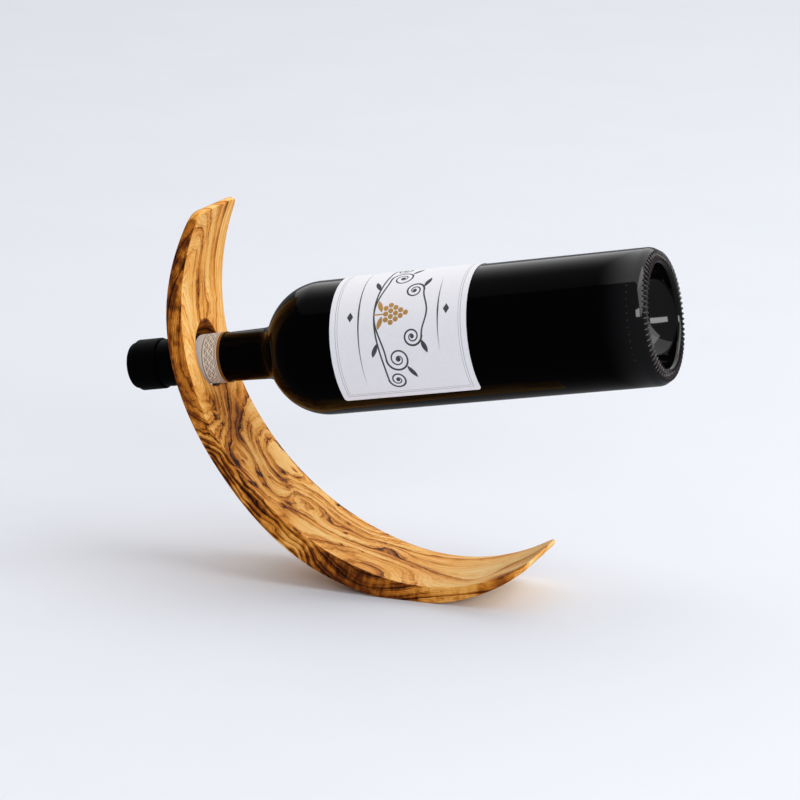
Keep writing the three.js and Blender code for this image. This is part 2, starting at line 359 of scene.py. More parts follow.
def doubled(bm: bmesh.types.BMesh) -> list[bmesh.types.BMVert]:
    """Gives a sheet a second layer and walls between the two.

    Args:
        bm: the sheet.

    Returns:
        The vertices of the second layer.
    """
    made = bmesh.ops.extrude_face_region(bm, geom=bm.faces[:], use_keep_orig=True)
    return [g for g in made["geom"] if isinstance(g, bmesh.types.BMVert)]


def eased(bm: bmesh.types.BMesh, geom: list, offset: float, segments: int, affect: str) -> None:
    """Rounds edges or corners.

    Args:
        bm: the mesh.
        geom: its edges or vertices to round.
        offset: how far the round reaches, in the mesh's units.
        segments: faces across the round.
        affect: EDGES or VERTICES.
    """
    bmesh.ops.bevel(
        bm,
        geom=geom,
        offset=offset,
        segments=segments,
        profile=0.5,
        affect=affect,
        material=-1,
        clamp_overlap=True,
    )


def turned(profile: Profile, steps: int, ring: bool = False) -> bmesh.types.BMesh:
    """Spins a profile of radius and height about local Z.

    Args:
        profile: points in millimetres.
        steps: facets round the axis.
        ring: whether the profile is a closed loop off the axis.

    Returns:
        The spun mesh, in metres.
    """
    bm = bmesh.new()
    verts = [bm.verts.new((r * MM, 0.0, h * MM)) for r, h in profile]
    pairs = list(zip(verts, verts[1:] + (verts[:1] if ring else [])))
    edges = [bm.edges.new(pair) for pair in pairs if pair[0] is not pair[1]]
    bmesh.ops.spin(
        bm, geom=verts + edges, cent=(0, 0, 0), axis=(0, 0, 1), angle=math.tau, steps=steps, use_merge=True
    )
    bmesh.ops.remove_doubles(bm, verts=bm.verts, dist=1e-3 * MM)
    bmesh.ops.recalc_face_normals(bm, faces=bm.faces)
    return bm


def piece(
    name: str,
    bm: bmesh.types.BMesh,
    finish: bpy.types.Material,
    body: Body,
    crease: float = 35.0,
) -> bpy.types.Object:
    """Makes an object of a finished mesh and lets it ride on a body.

    Args:
        name: name of the piece.
        bm: its mesh, in place; freed here.
        finish: its material.
        body: the body that carries it.
        crease: angle in degrees above which an edge stays sharp.

    Returns:
        The object.
    """
    mesh = bpy.data.meshes.new(name)
    bm.to_mesh(mesh)
    bm.free()
    mesh.shade_smooth()
    mesh.set_sharp_from_angle(angle=math.radians(crease))
    mesh.materials.append(finish)
    made = bpy.data.objects.new(name, mesh)
    bpy.context.collection.objects.link(made)
    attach(made, body.value)
    LOG.info("piece %s: %d faces", name, len(mesh.polygons))
    return made


# Finishes


@dataclass(frozen=True)
class Stretch:
    """A stretch of the crescent, by the places where it starts, is full, starts to fade and ends."""

    start: float
    full: float
    fade: float
    end: float

    def share(self, along: Wire) -> Wire:
        """1 within the stretch, 0 outside it, smooth between."""
        return along.ramp(self.start, self.full) * along.ramp(self.fade, self.end, 1.0, 0.0)


@dataclass(frozen=True)
class Layout:
    """Coordinates of the wood's figure, and shares of its stretches."""

    sheet: NodeSheet
    place: tuple[Wire, Wire, Wire]
    along: Wire
    depth: Wire
    grain: Wire
    flat: Wire
    belly: Wire
    tongue: Wire
    toe: Wire

    def noise(self, size: tuple[float, float, float], detail: float, rough: float, shift: float) -> Wire:
        """Smooth noise along, across and into the wood."""
        return self.sheet.noise(self.grain, size, detail, rough, shift)

    def mounds(self, groups: Mounds) -> Wire:
        """Adds up soft mounds.

        Args:
            groups: length and width, then place along, place across and height of each mound.

        Returns:
            Their sum.
        """
        total: Value = 0.0
        for (length, width), places in groups:
            scale = (1.0 / length, 1.0 / width, 0.0)
            scaled = self.sheet.node("VectorMath", {"operation": "MULTIPLY"}, {0: self.flat, 1: scale})
            for along, across, height in places:
                ends = {0: scaled, 1: (along / length, across / width, 0.0)}
                away = self.sheet.node("VectorMath", {"operation": "DISTANCE"}, ends, "Value")
                total = (away * away * -1.0).exp() * height + total
        return total


@dataclass(frozen=True)
class OliveWood:
    """Oiled olive wood: a honey ground, brown growth lines that wander, pin knots and darker sides."""

    half_width: float
    horn_narrowing: float
    taper_length: float
    hole_middle: tuple[float, float]
    hole_radius: float
    hole_angle: float
    centre: tuple[float, float] = (7.9, 152.4)  # the figure is laid out round this point
    radius: float = 138.6
    start: float = 53.0
    belly: Stretch = Stretch(118.0, 140.0, 198.0, 214.0)
    tongue: Stretch = Stretch(205.0, 222.0, 258.0, 284.0)
    toe: tuple[float, float] = (255.0, 285.0)
    last_line: float = 7.2  # the count of growth lines stops here, and the wood within is plain
    ground: float = 2.6  # number of the growth line along the middle
    across_step: float = 0.03  # growth lines per millimetre across
    deep_step: float = 0.14  # and per millimetre of depth
    deep_step_belly: float = 0.2  # more of them in the belly
    knot_tone: float = 0.6  # of the darkest knots
    stops: tuple[tuple[float, Colour], ...] = (
        (0.0, seen(255, 215, 144)),
        (0.2, seen(243, 176, 86)),
        (0.42, seen(202, 122, 36)),
        (0.68, seen(120, 58, 10)),
        (1.0, seen(40, 14, 1)),
    )
    # length and width of swells that the lines go round, then place along, place across and height of each
    swells: Mounds = (
        ((44.0, 26.0), ((60, -25, -3.0), (160, -5, 1.5))),
        ((26.0, 17.0), ((100, -20, -2.5), (153, 22, 4.0), (212, 30, 3.5), (240, -26, -1.5))),
        ((16.0, 11.0), ((24, -14, -1.0), (132, 20, -0.6), (139, -24, 0.8), (165, 4, 1.0), (177, 25, 0.8))),
        ((16.0, 11.0), ((187, 8, -1.0), (197, -14, -0.5), (250, -8, -0.8), (300, -15, 0.4))),
        ((10.0, 8.0), ((60, 12, -0.5), (110, -14, -0.8), (118, -20, 0.4), (132, -5, 0.5), (146, -10, -0.6))),
        ((10.0, 8.0), ((172, -14, 0.6), (181, 3, -0.6), (182, -20, -0.5), (205, 3, 0.5), (211, 16, -0.5))),
        ((10.0, 8.0), ((228, -9, -0.4), (238, 12, -0.8))),
    )
    # the same for pin knots and for brown smears, with their darkness for a height; the smears under the neck
    # are partly painted shade of the bottle
    knots: Mounds = (
        ((1.9, 1.5), ((161.5, -23.5, 0.8), (158, -12, 0.8), (165.5, 11, 0.8), (166.5, 24, 0.7))),
        ((1.9, 1.5), ((145, -25, 0.5), (118, -18.5, 0.6), (211, 15.5, 0.4), (181, -11, 0.5))),
        ((1.9, 1.5), ((182, -18, 0.5), (160, -27, 0.7))),
        ((1.0, 0.9), ((165, -16, 0.8), (163, -5, 0.7), (123, -15, 0.6), (148, -18, 0.6), (219, -12.5, 0.6))),
        ((1.0, 0.9), ((229, -7.5, 0.6), (213.5, 3, 0.5), (197, 28, 0.6), (240, 6, 0.5), (110, -14, 0.6))),
    )
    # painted shade: the smears from about 110 to 133 along, under the neck, darken partly where the bottle's
    # shadow falls
    smears_and_neck_shade: Mounds = (
        ((6.0, 6.0), ((143, -25, 0.4), (168, 4, 0.26), (110, -13, 0.28), (184, -24, 0.22), (183, -13, 0.26))),
        ((6.0, 6.0), ((187, 3, 0.16), (127, -2, 0.2), (133, -9, 0.2), (120, 7, 0.14), (316, -28, 0.4))),
        ((15.0, 13.0), ((121, -14, 0.14), (119, 10, 0.1), (236, -36, 0.16))),
        ((13.0, 3.5), ((46, -5, 0.34), (326, -26, 0.28), (210, 11, 0.16), (222, -19, 0.14), (158, 3, 0.16))),
    )

    def _lay(self, sheet: NodeSheet) -> Layout:
        """Unrolls the crescent.

        Args:
            sheet: the material's tree.

        Returns:
            Coordinates along, across and into the wood, plain and shaken.
        """
        x, y, z = sheet.split(sheet.place())
        right, up = x - self.centre[0], z - self.centre[1]
        along = sheet.turn(-up, -right) * self.radius + self.start
        depth = (right * right + up * up) ** 0.5 - self.radius
        grain = sheet.join(along, y, depth)
        flat = sheet.shaken(grain, (15.0, 9.0, 9.0), (6.0, 5.0, 0.0), 7.7)
        flat = sheet.shaken(flat, (4.4, 2.8, 2.8), (5.0, 4.2, 0.0), 1.9)
        belly, tongue = self.belly.share(along), self.tongue.share(along)
        toe = along.ramp(*self.toe)
        return Layout(sheet, (x, y, z), along, depth, grain, flat, belly, tongue, toe)

    def _side(self, lay: Layout) -> Wire:
        """Where the sides are, with a ragged edge at the belly.

        Args:
            lay: the figure's coordinates.

        Returns:
            1 on the sides, 0 on the faces.
        """
        taper = (1.0 - lay.along / self.taper_length).most(0.0)
        edge = self.half_width - taper * taper * self.horn_narrowing - abs(lay.place[1])
        edge = edge - lay.belly * (lay.noise((9.0, 4.0, 4.0), 2.0, 0.5, 8.8) * 6.0 + 0.8)
        return edge.ramp(0.25, 0.9, 1.0, 0.0)

    def _blots(self, lay: Layout, patches: Wire) -> Wire:
        """Darkening of the sides: a shade, patches and short strokes across the thickness.

        Args:
            lay: the figure's coordinates.
            patches: broad dark patches.

        Returns:
            What the sides' tone gains.
        """
        strokes = lay.noise((3.0, 30.0, 12.0), 2.0, 0.55, 6.6).ramp(-0.14, 0.24)
        shade = lay.along.ramp(100.0, 128.0, 0.26, 0.08) + lay.tongue * 0.26
        return shade + patches * (0.28 - lay.tongue * 0.18) + strokes * (lay.tongue * 0.18 + 0.1)

    def _growth(self, lay: Layout, side: Wire, patches: Wire, fade: Wire) -> tuple[Wire, Wire]:
        """Numbered growth lines that go round the swells, and follow each other faster on the sides.

        Args:
            lay: the figure's coordinates.
            side: 1 on the sides.
            patches: broad dark patches.
            fade: where the lines are strong.

        Returns:
            The tone of all lines, and the main lines alone.
        """
        waver = lay.noise((13.0, 20.0, 7.0), 1.0, 0.4, 12.4) * side * lay.belly * 2.4
        deep = lay.depth * (lay.belly * self.deep_step_belly + self.deep_step)
        ring = lay.place[1] * self.across_step + deep + self.ground
        ring = (ring + lay.mounds(self.swells) + waver).least(self.last_line)
        number = ring.floor()
        part = ring - number
        chance = lay.sheet.node("TexWhiteNoise", {"noise_dimensions": "1D"}, {"W": number})
        calm = lay.along.ramp(85.0, 118.0, 0.75, 1.0) * (1.0 - lay.toe * 0.55)
        strength = (chance * 0.4 + 0.6) * (fade * 0.55 + 0.45) * calm
        edge_of_line = part.ramp(0.975, 1.0, 1.0, 0.0)
        line = part.ramp(0.8, 0.93) * edge_of_line
        band = part.ramp(0.2, 1.0) * edge_of_line
        half = ring * 2.0 + 0.35
        half_line = (half - half.floor()).line(0.5, 0.07, 0.12)
        fine = ring * 7.0 + lay.noise((30.0, 4.0, 4.0), 1.0, 0.5, 4.0) * 2.0
        fine_line = (fine - fine.floor()).ramp(0.3, 0.95)
        side_line = part.ramp(0.5, 0.88) * edge_of_line * lay.belly * (patches * 0.28 + 0.1)
        tone = (band * 0.32 + line * (side * 0.2 + 0.42)) * strength + side * side_line
        tone = tone + half_line * (fade * 0.3 + 0.1) * (calm - 0.4)
        return tone + fine_line * lay.along.ramp(95.0, 120.0, 0.14, 0.1), line

    def _hole_wall(self, lay: Layout) -> Wire:
        """Where the wall of the neck hole is.

        Args:
            lay: the figure's coordinates.

        Returns:
            1 on the wall, 0 elsewhere.
        """
        x, y, z = lay.place
        right, up = x - self.hole_middle[0], z - self.hole_middle[1]
        reach = up * math.cos(self.hole_angle) - right * math.sin(self.hole_angle)
        return ((reach * reach + y * y) ** 0.5).line(self.hole_radius, 0.25, 0.5)

    def material(self) -> bpy.types.Material:
        """Sums the wood's tone up: ground, growth, knots and smears, with painted shade of the bottle in the
        smears under the neck, darker sides and a darker hole.

        Returns:
            The finished material.
        """
        sheet = NodeSheet("olive_wood")
        lay = self._lay(sheet)
        side = self._side(lay)
        patches = lay.noise((12.0, 20.0, 8.0), 2.0, 0.55, 2.2).ramp(-0.06, 0.16)
        fade = lay.noise((24.0, 12.0, 12.0), 1.0, 0.5, 3.1).ramp(-0.16, 0.1)
        growth, line = self._growth(lay, side, patches, fade)
        broad = lay.noise((50.0, 14.0, 13.0), 2.0, 0.5, 11.3)
        fibre = lay.noise((14.0, 0.6, 0.6), 2.0, 0.6, 5.0)
        pores = lay.noise((2.6, 0.4, 0.4), 1.0, 0.5, 9.0).ramp(0.15, 0.24)
        flecks = lay.noise((5.0, 1.3, 1.3), 2.0, 0.6, 15.0).ramp(0.11, 0.2) * fade

        tone = broad * 0.5 + 0.09 - lay.toe * 0.05 + growth
        tone = tone + fibre * 0.2 + pores * 0.14 + flecks * 0.2
        # the smears add the wood's dark figure and, under the neck, painted shade of the bottle
        tone = tone + lay.mounds(self.smears_and_neck_shade) + lay.mounds(self.knots).least(self.knot_tone)
        tone = tone + side * self._blots(lay, patches)
        tone = tone + self._hole_wall(lay) * (patches * 0.2 + 0.34)
        surface = {
            "Base Color": sheet.node("ValToRGB", {"stops": self.stops}, {0: tone}),
            "Roughness": 0.46 + fibre * 0.2 + line * 0.06,
            "Specular IOR Level": 0.08,
        }
        return sheet.close(surface, fibre * 0.8 - pores * 0.7, 0.06)


@dataclass(frozen=True)
class DarkGlass:
    """Bottle glass so dark that wine and glass look black, faintly wavy, polished at the base, with a painted
    amber glow at its rim.
    """

    rig: Rig
    punt_radius: float
    heel: tuple[float, float] = (3.0, 26.0)  # heights between which the polish of the base fades
    punt_top: float = 30.0  # height that no part of the punt reaches
    glow_heights: tuple[float, float] = (150.0, 240.0)  # heights between which the painted amber glow at the rim grows
    shoulder: tuple[float, float] = (188.0, 212.0)  # heights between which the rim's gloss calms
    ground: Colour = seen(2, 2, 3)
    # painted glow: the amber of light seen through the glass's rim
    amber_glow: Colour = seen(10, 6, 4)

    def material(self) -> bpy.types.Material:
        """Makes the finish.

        Returns:
            The finished material.
        """
        sheet = NodeSheet("dark_glass")
        place = sheet.place(self.rig)
        wave = sheet.noise(place, (26.0, 26.0, 60.0), 1.0, 0.4, 2.0)
        haze = sheet.noise(place, (9.0, 9.0, 14.0), 3.0, 0.6, 5.0)
        x, y, height = sheet.split(place)
        rim = sheet.node("LayerWeight", inputs={"Blend": 0.5}, output="Facing")
        # painted glow: the base colour turns amber at the rim, more towards the neck, for light through the
        # glass
        rim_glow = rim.ramp(0.3, 1.0) * height.ramp(*self.glow_heights, 0.5, 0.8)
        punt = ((x * x + y * y) ** 0.5).ramp(self.punt_radius, self.punt_radius + 0.6, 1.0, 0.0)
        heel = height.ramp(*self.heel, 1.0, 0.0)
        within = punt * height.ramp(self.punt_top, self.punt_top + 1.0, 1.0, 0.0)
        polish = (punt * 0.15 + 0.75) * heel.most(within)
        calm = height.ramp(*self.shoulder, 1.0, 0.4)
        surface = {
            "Base Color": sheet.blend(rim_glow, self.ground, self.amber_glow),
            "Roughness": haze * 0.12 + 0.09,
            "IOR": 1.08,
            "Coat Weight": polish.most(rim.ramp(0.36, 0.8) * x.ramp(-12.0, 16.0, 0.3, 0.7) * calm),
            "Coat Roughness": 0.06,
        }
        return sheet.close(surface, wave, 0.25)


@dataclass(frozen=True)
class BlackFoil:
    """Matt black capsule, pressed tight: faint draw lines and rubbed patches."""

    rig: Rig
    ground: Colour = seen(1, 1, 2)
    rubbed: Colour = seen(7, 7, 8)

    def material(self) -> bpy.types.Material:
        """Makes the finish.

        Returns:
            The finished material.
        """
        sheet = NodeSheet("black_capsule")
        place = sheet.place(self.rig)
        x, y, height = sheet.split(place)
        draw = sheet.noise(sheet.join(sheet.turn(y, x) * 14.0, height, 0.0), (0.9, 22.0, 1.0), 2.0, 0.6)
        grain = sheet.noise(place, (0.5, 0.5, 0.5), 2.0, 0.6)
        worn = sheet.noise(place, (5.0, 5.0, 5.0), 3.0, 0.6).ramp(0.05, 0.3)
        surface = {
            "Base Color": sheet.blend(worn * 0.5 + draw * 0.4 + 0.1, self.ground, self.rubbed),
            "Roughness": worn * 0.12 + grain * 0.1 + 0.42,
            "Specular IOR Level": 0.03,
        }
        return sheet.close(surface, draw * 0.7 + grain * 0.3, 0.05)


@dataclass(frozen=True)
class CorkBark:
    """Pressed cork with pores and brown flecks."""

    rig: Rig
    pale: Colour = seen(205, 165, 118)
    brown: Colour = seen(120, 78, 44)

    def material(self) -> bpy.types.Material:
        """Makes the finish.

        Returns:
            The finished material.
        """
        sheet = NodeSheet("cork")
        place = sheet.place(self.rig)
        flecks = sheet.noise(place, (1.4, 1.4, 2.6), 3.0, 0.6).ramp(0.04, 0.2)
        cloud = sheet.noise(place, (6.0, 6.0, 6.0), 2.0, 0.5)
        colour = sheet.blend(flecks * 0.75 + cloud * 0.5, self.pale, self.brown)
        return sheet.close({"Base Color": colour, "Roughness": flecks * 0.1 + 0.8}, -flecks, 0.2)


@dataclass(frozen=True)
class RedWine:
    """Deep red wine behind the glass, painted a lighter red towards its rim as a glow of light through it."""

    rig: Rig
    deep: Colour = seen(34, 5, 9)
    # painted glow: the lighter red of light through the wine at its rim
    edge: Colour = seen(92, 14, 22)

    def material(self) -> bpy.types.Material:
        """Makes the finish.

        Returns:
            The finished material.
        """
        sheet = NodeSheet("red_wine")
        drift = sheet.noise(sheet.place(self.rig), (30.0, 30.0, 50.0), 2.0, 0.5)
        rim = sheet.node("LayerWeight", inputs={"Blend": 0.3}, output="Facing")
        # painted glow: lighter red towards the rim
        colour = sheet.blend(rim * rim * 0.8 + drift * 0.2, self.deep, self.edge)
        return sheet.close({"Base Color": colour, "Roughness": drift * 0.05 + 0.06, "IOR": 1.34})


@dataclass(frozen=True)
class Volute:
    """A coil of the label's vine, on a stem that comes out of the middle line."""

    across: float
    up: float
    pitch: float  # distance from turn to turn
    side: int  # 1 if its outer end is on top, -1 if it is below
    root: float  # height of the stem on the middle line
    turns: float = 2.25

    @property
    def end(self) -> float:
        """Height of the coil's outer end, where the stem meets it."""
        return self.up + self.side * self.turns * self.pitch

    def coil(self, sheet: NodeSheet, away: Wire, up: Wire, edge: float) -> Wire:
        """The coil round its bead, thickest at its outer end.

        Args:
            sheet: the material's tree.
            away: distance from the label's middle line.
            up: height on the label.
            edge: softness of the print's edges.

        Returns:
            1 in the ink, 0 beside it.
        """
        u, v = away - self.across, (up - self.up) * self.side
        reach = (u * u + v * v) ** 0.5
        share = sheet.turn(v, u) / math.tau
        turns = (reach / self.pitch - share + 0.5).floor() + share
        off = abs(reach - turns * self.pitch) - turns * 0.16
        coil = off.ramp(0.16, 0.16 + edge, 1.0, 0.0) * turns.ramp(self.turns, self.turns + 0.01, 1.0, 0.0)
        bead = self.pitch * 0.45
        return coil.most(reach.ramp(bead, bead + edge, 1.0, 0.0))

    def stem(self, away: Wire, up: Wire, edge: float) -> Wire:
        """The stem, which swings from the middle line out to the coil, level at both ends.

        Args:
            away: distance from the label's middle line.
            up: height on the label.
            edge: softness of the print's edges.

        Returns:
            1 in the ink, 0 beside it.
        """
        swing = (away * (math.pi / self.across) + math.pi / 2).sine()
        level = swing * ((self.root - self.end) / 2) + (self.root + self.end) / 2
        return up.line(level, 0.42, edge) * away.ramp(self.across, self.across + 0.1, 1.0, 0.0)


@dataclass(frozen=True)
class LabelPaper:
    """Uncoated label paper with a double border, two rules, and a vine round a bunch of grapes."""

    rig: Rig
    middle_angle: float
    radius: float
    low: float
    width: float
    height: float
    border: tuple[tuple[float, float], ...] = ((3.3, 0.12), (4.5, 0.08))  # inset and half thickness
    rules: tuple[tuple[float, float, float], ...] = (  # height, half thickness and taper
        (61.8, 0.42, 0.012),
        (16.2, 0.4, 0.02),
    )
    lozenges: tuple[float, float] = (66.6, 11.4)
    volutes: tuple[Volute, ...] = (
        Volute(25.0, 40.5, 3.0, 1, 52.75),
        Volute(37.0, 43.5, 2.31, 1, 52.75),
        Volute(13.5, 31.0, 2.4, -1, 22.6),
    )
    leaves: tuple[tuple[float, float, float], ...] = (  # place across, height and slope
        (19.4, 53.2, 0.45),
        (19.2, 24.6, -0.35),
        (32.8, 34.0, -0.55),
    )
    bunch_leaf: tuple[float, float, float] = (4.8, 49.4, 0.3)
    stalk: tuple[float, float] = (50.2, 2.6)  # height of its middle, and half its length
    bunch: tuple[int, ...] = (3, 4, 3, 2, 1)  # grapes in each row, from the top
    bunch_top: float = 46.0
    row_step: float = 2.85
    grape_step: float = 3.3
    grape_radius: float = 1.42
    edge: float = 0.12  # softness of the print's edges
    paper: Colour = seen(240, 239, 244)
    rule: Colour = seen(150, 152, 160)
    ink: Colour = seen(26, 26, 30)
    gold: Colour = seen(196, 142, 42)

    def material(self) -> bpy.types.Material:
        """Makes the finish.

        Returns:
            The finished material.
        """
        sheet = NodeSheet("label_paper")
        place = sheet.place(self.rig)
        x, y, z = sheet.split(place)
        back = math.radians(self.middle_angle)
        east, north = math.cos(back), math.sin(back)
        across = sheet.turn(y * east - x * north, x * east + y * north) * self.radius
        up = z - self.low
        away = abs(across)

        inset = (self.width / 2 - away).least(up.least(self.height - up))
        border: Value = 0.0
        for place_in, half in self.border:
            border = inset.line(place_in, half, self.edge) + border
        ink = self._rules(away, up).most(self._vine(sheet, away, up))
        gold = self._grapes(away, up)

        fibre = sheet.noise(place, (1.6, 1.6, 1.6), 3.0, 0.65)
        tooth = sheet.noise(place, (0.35, 0.35, 0.35), 2.0, 0.6)
        rubbed = inset.ramp(0.0, 0.9, 1.0, 0.0)
        colour = sheet.blend(fibre * 0.16 + 0.03 + rubbed * 0.04, self.paper, self.rule)
        colour = sheet.blend(border * 0.75, colour, self.rule)
        colour = sheet.blend(ink * (0.94 + tooth * 0.3), colour, self.ink)
        colour = sheet.blend(gold * (0.92 + tooth * 0.5), colour, self.gold)
        surface = {
            "Base Color": colour,
            "Roughness": 0.72 - gold * 0.32 + fibre * 0.1,
            "Metallic": gold * 0.35,
            "Specular IOR Level": 0.3,
        }
        return sheet.close(surface, tooth * 0.5 + fibre * 0.5 + gold * 0.3, 0.03)

    def _rules(self, away: Wire, up: Wire) -> Wire:
        """Two rules that taper towards their ends, each with a small lozenge.

        Args:
            away: distance from the label's middle line.
            up: height on the label.

        Returns:
            1 in the ink, 0 beside it.
        """
        first, second = self.lozenges
        drawn = (away * 0.62 + abs(up - first).least(abs(up - second))).ramp(1.7, 1.9, 1.0, 0.0)
        for height, half, taper in self.rules:
            drawn = drawn.most((abs(up - height) + away * taper).ramp(half, half + self.edge, 1.0, 0.0))
        return drawn

    def _leaf(self, away: Wire, up: Wire, across: float, height: float, slope: float) -> Wire:
        """A pointed leaf.

        Args:
            away: distance from the label's middle line.
            up: height on the label.
            across: place of the leaf's middle.
            height: its height.
            slope: rise of the leaf per millimetre across.

        Returns:
            1 in the leaf, 0 beside it.
        """
        lean = away - across
        return (abs(up - height - lean * slope) / 1.35 + lean * lean / 13.0).ramp(1.0, 1.12, 1.0, 0.0)

    def _vine(self, sheet: NodeSheet, away: Wire, up: Wire) -> Wire:
        """Stems on both sides of the grapes that end in volutes, with leaves.

        Args:
            sheet: the material's tree.
            away: distance from the label's middle line.
            up: height on the label.

        Returns:
            1 in the ink, 0 beside it.
        """
        drawn: Value = 0.0
        for volute in self.volutes:
            drawn = volute.stem(away, up, self.edge).most(drawn)
            drawn = drawn.most(volute.coil(sheet, away, up, self.edge))
        for leaf in self.leaves:
            drawn = drawn.most(self._leaf(away, up, *leaf))
        return drawn

    def _grapes(self, away: Wire, up: Wire) -> Wire:
        """A bunch of grapes with a stalk and two leaves.

        Args:
            away: distance from the label's middle line.
            up: height on the label.

        Returns:
            1 in the gold, 0 beside it.
        """
        drawn = self._leaf(away, up, *self.bunch_leaf)
        drawn = drawn.most(up.line(*self.stalk, 0.1) * away.ramp(0.36, 0.46, 1.0, 0.0))
        for row, count in enumerate(self.bunch):
            v = up - (self.bunch_top - row * self.row_step)
            for i in range((count + 1) // 2):
                u = away - (i + 0.5 * (1 - count % 2)) * self.grape_step
                reach = (u * u + v * v) ** 0.5
                drawn = drawn.most(reach.ramp(self.grape_radius, self.grape_radius + self.edge, 1.0, 0.0))
        return drawn


@dataclass(frozen=True)
class StripPaper:
    """Cream paper strip with a gold edge and a band of fine wavy lines."""

    rig: Rig
    low: float
    plait: tuple[tuple[float, float], ...] = ((5.2, 0.0), (5.2, 2.1), (8.0, 1.0), (8.0, 3.1))  # height, lag
    plait_waves: float = 18.0  # of each line, round the neck
    plait_swing: float = 0.95
    rules: tuple[tuple[float, float], ...] = ((3.3, 0.14), (10.4, 0.2))  # height and half thickness
    gold_edge: float = 1.6
    gold_rule: tuple[float, float] = (2.4, 0.16)
    paper: Colour = seen(222, 217, 209)
    gold: Colour = seen(128, 88, 26)
    ink: Colour = seen(40, 37, 36)

    def material(self) -> bpy.types.Material:
        """Makes the finish.

        Returns:
            The finished material.
        """
        sheet = NodeSheet("strip_paper")
        place = sheet.place(self.rig)
        x, y, z = sheet.split(place)
        turn = sheet.turn(y, x)
        up = z - self.low
        drawn: Value = 0.0
        for level, lag in self.plait:
            wave = (turn * self.plait_waves + lag).sine() * self.plait_swing
            drawn = up.line(wave + level, 0.16, 0.14) + drawn
        for level, half in self.rules:
            drawn = up.line(level, half, 0.12) + drawn
        fibre = sheet.noise(place, (1.4, 1.4, 1.4), 3.0, 0.65)
        gold = up.ramp(self.gold_edge, self.gold_edge + 0.15, 1.0, 0.0) + up.line(*self.gold_rule, 0.1)
        colour = sheet.blend(fibre * 0.2 + 0.04, self.paper, self.ink)
        colour = sheet.blend(drawn * 0.85, colour, self.ink)
        colour = sheet.blend(gold, colour, self.gold)
        surface = {
            "Base Color": colour,
            "Roughness": 0.7 - gold * 0.28 + fibre * 0.1,
            "Metallic": gold * 0.5,
        }
        return sheet.close(surface, fibre + gold * 0.4, 0.03)


@dataclass(frozen=True)
class PaleFloor:
    """Plain pale studio floor."""

    pale: Colour = seen(227, 229, 235)
    dull: Colour = seen(217, 220, 227)

    def material(self) -> bpy.types.Material:
        """Makes the finish.

        Returns:
            The finished material.
        """
        sheet = NodeSheet("pale_floor")
        place = sheet.place()
        cloud = sheet.noise(place, (160.0, 160.0, 160.0), 3.0, 0.6)
        colour = sheet.blend(cloud * 0.5 + 0.25, self.pale, self.dull)
        return sheet.close({"Base Color": colour, "Roughness": 0.9, "Specular IOR Level": 0.1})


# Sub-assemblies


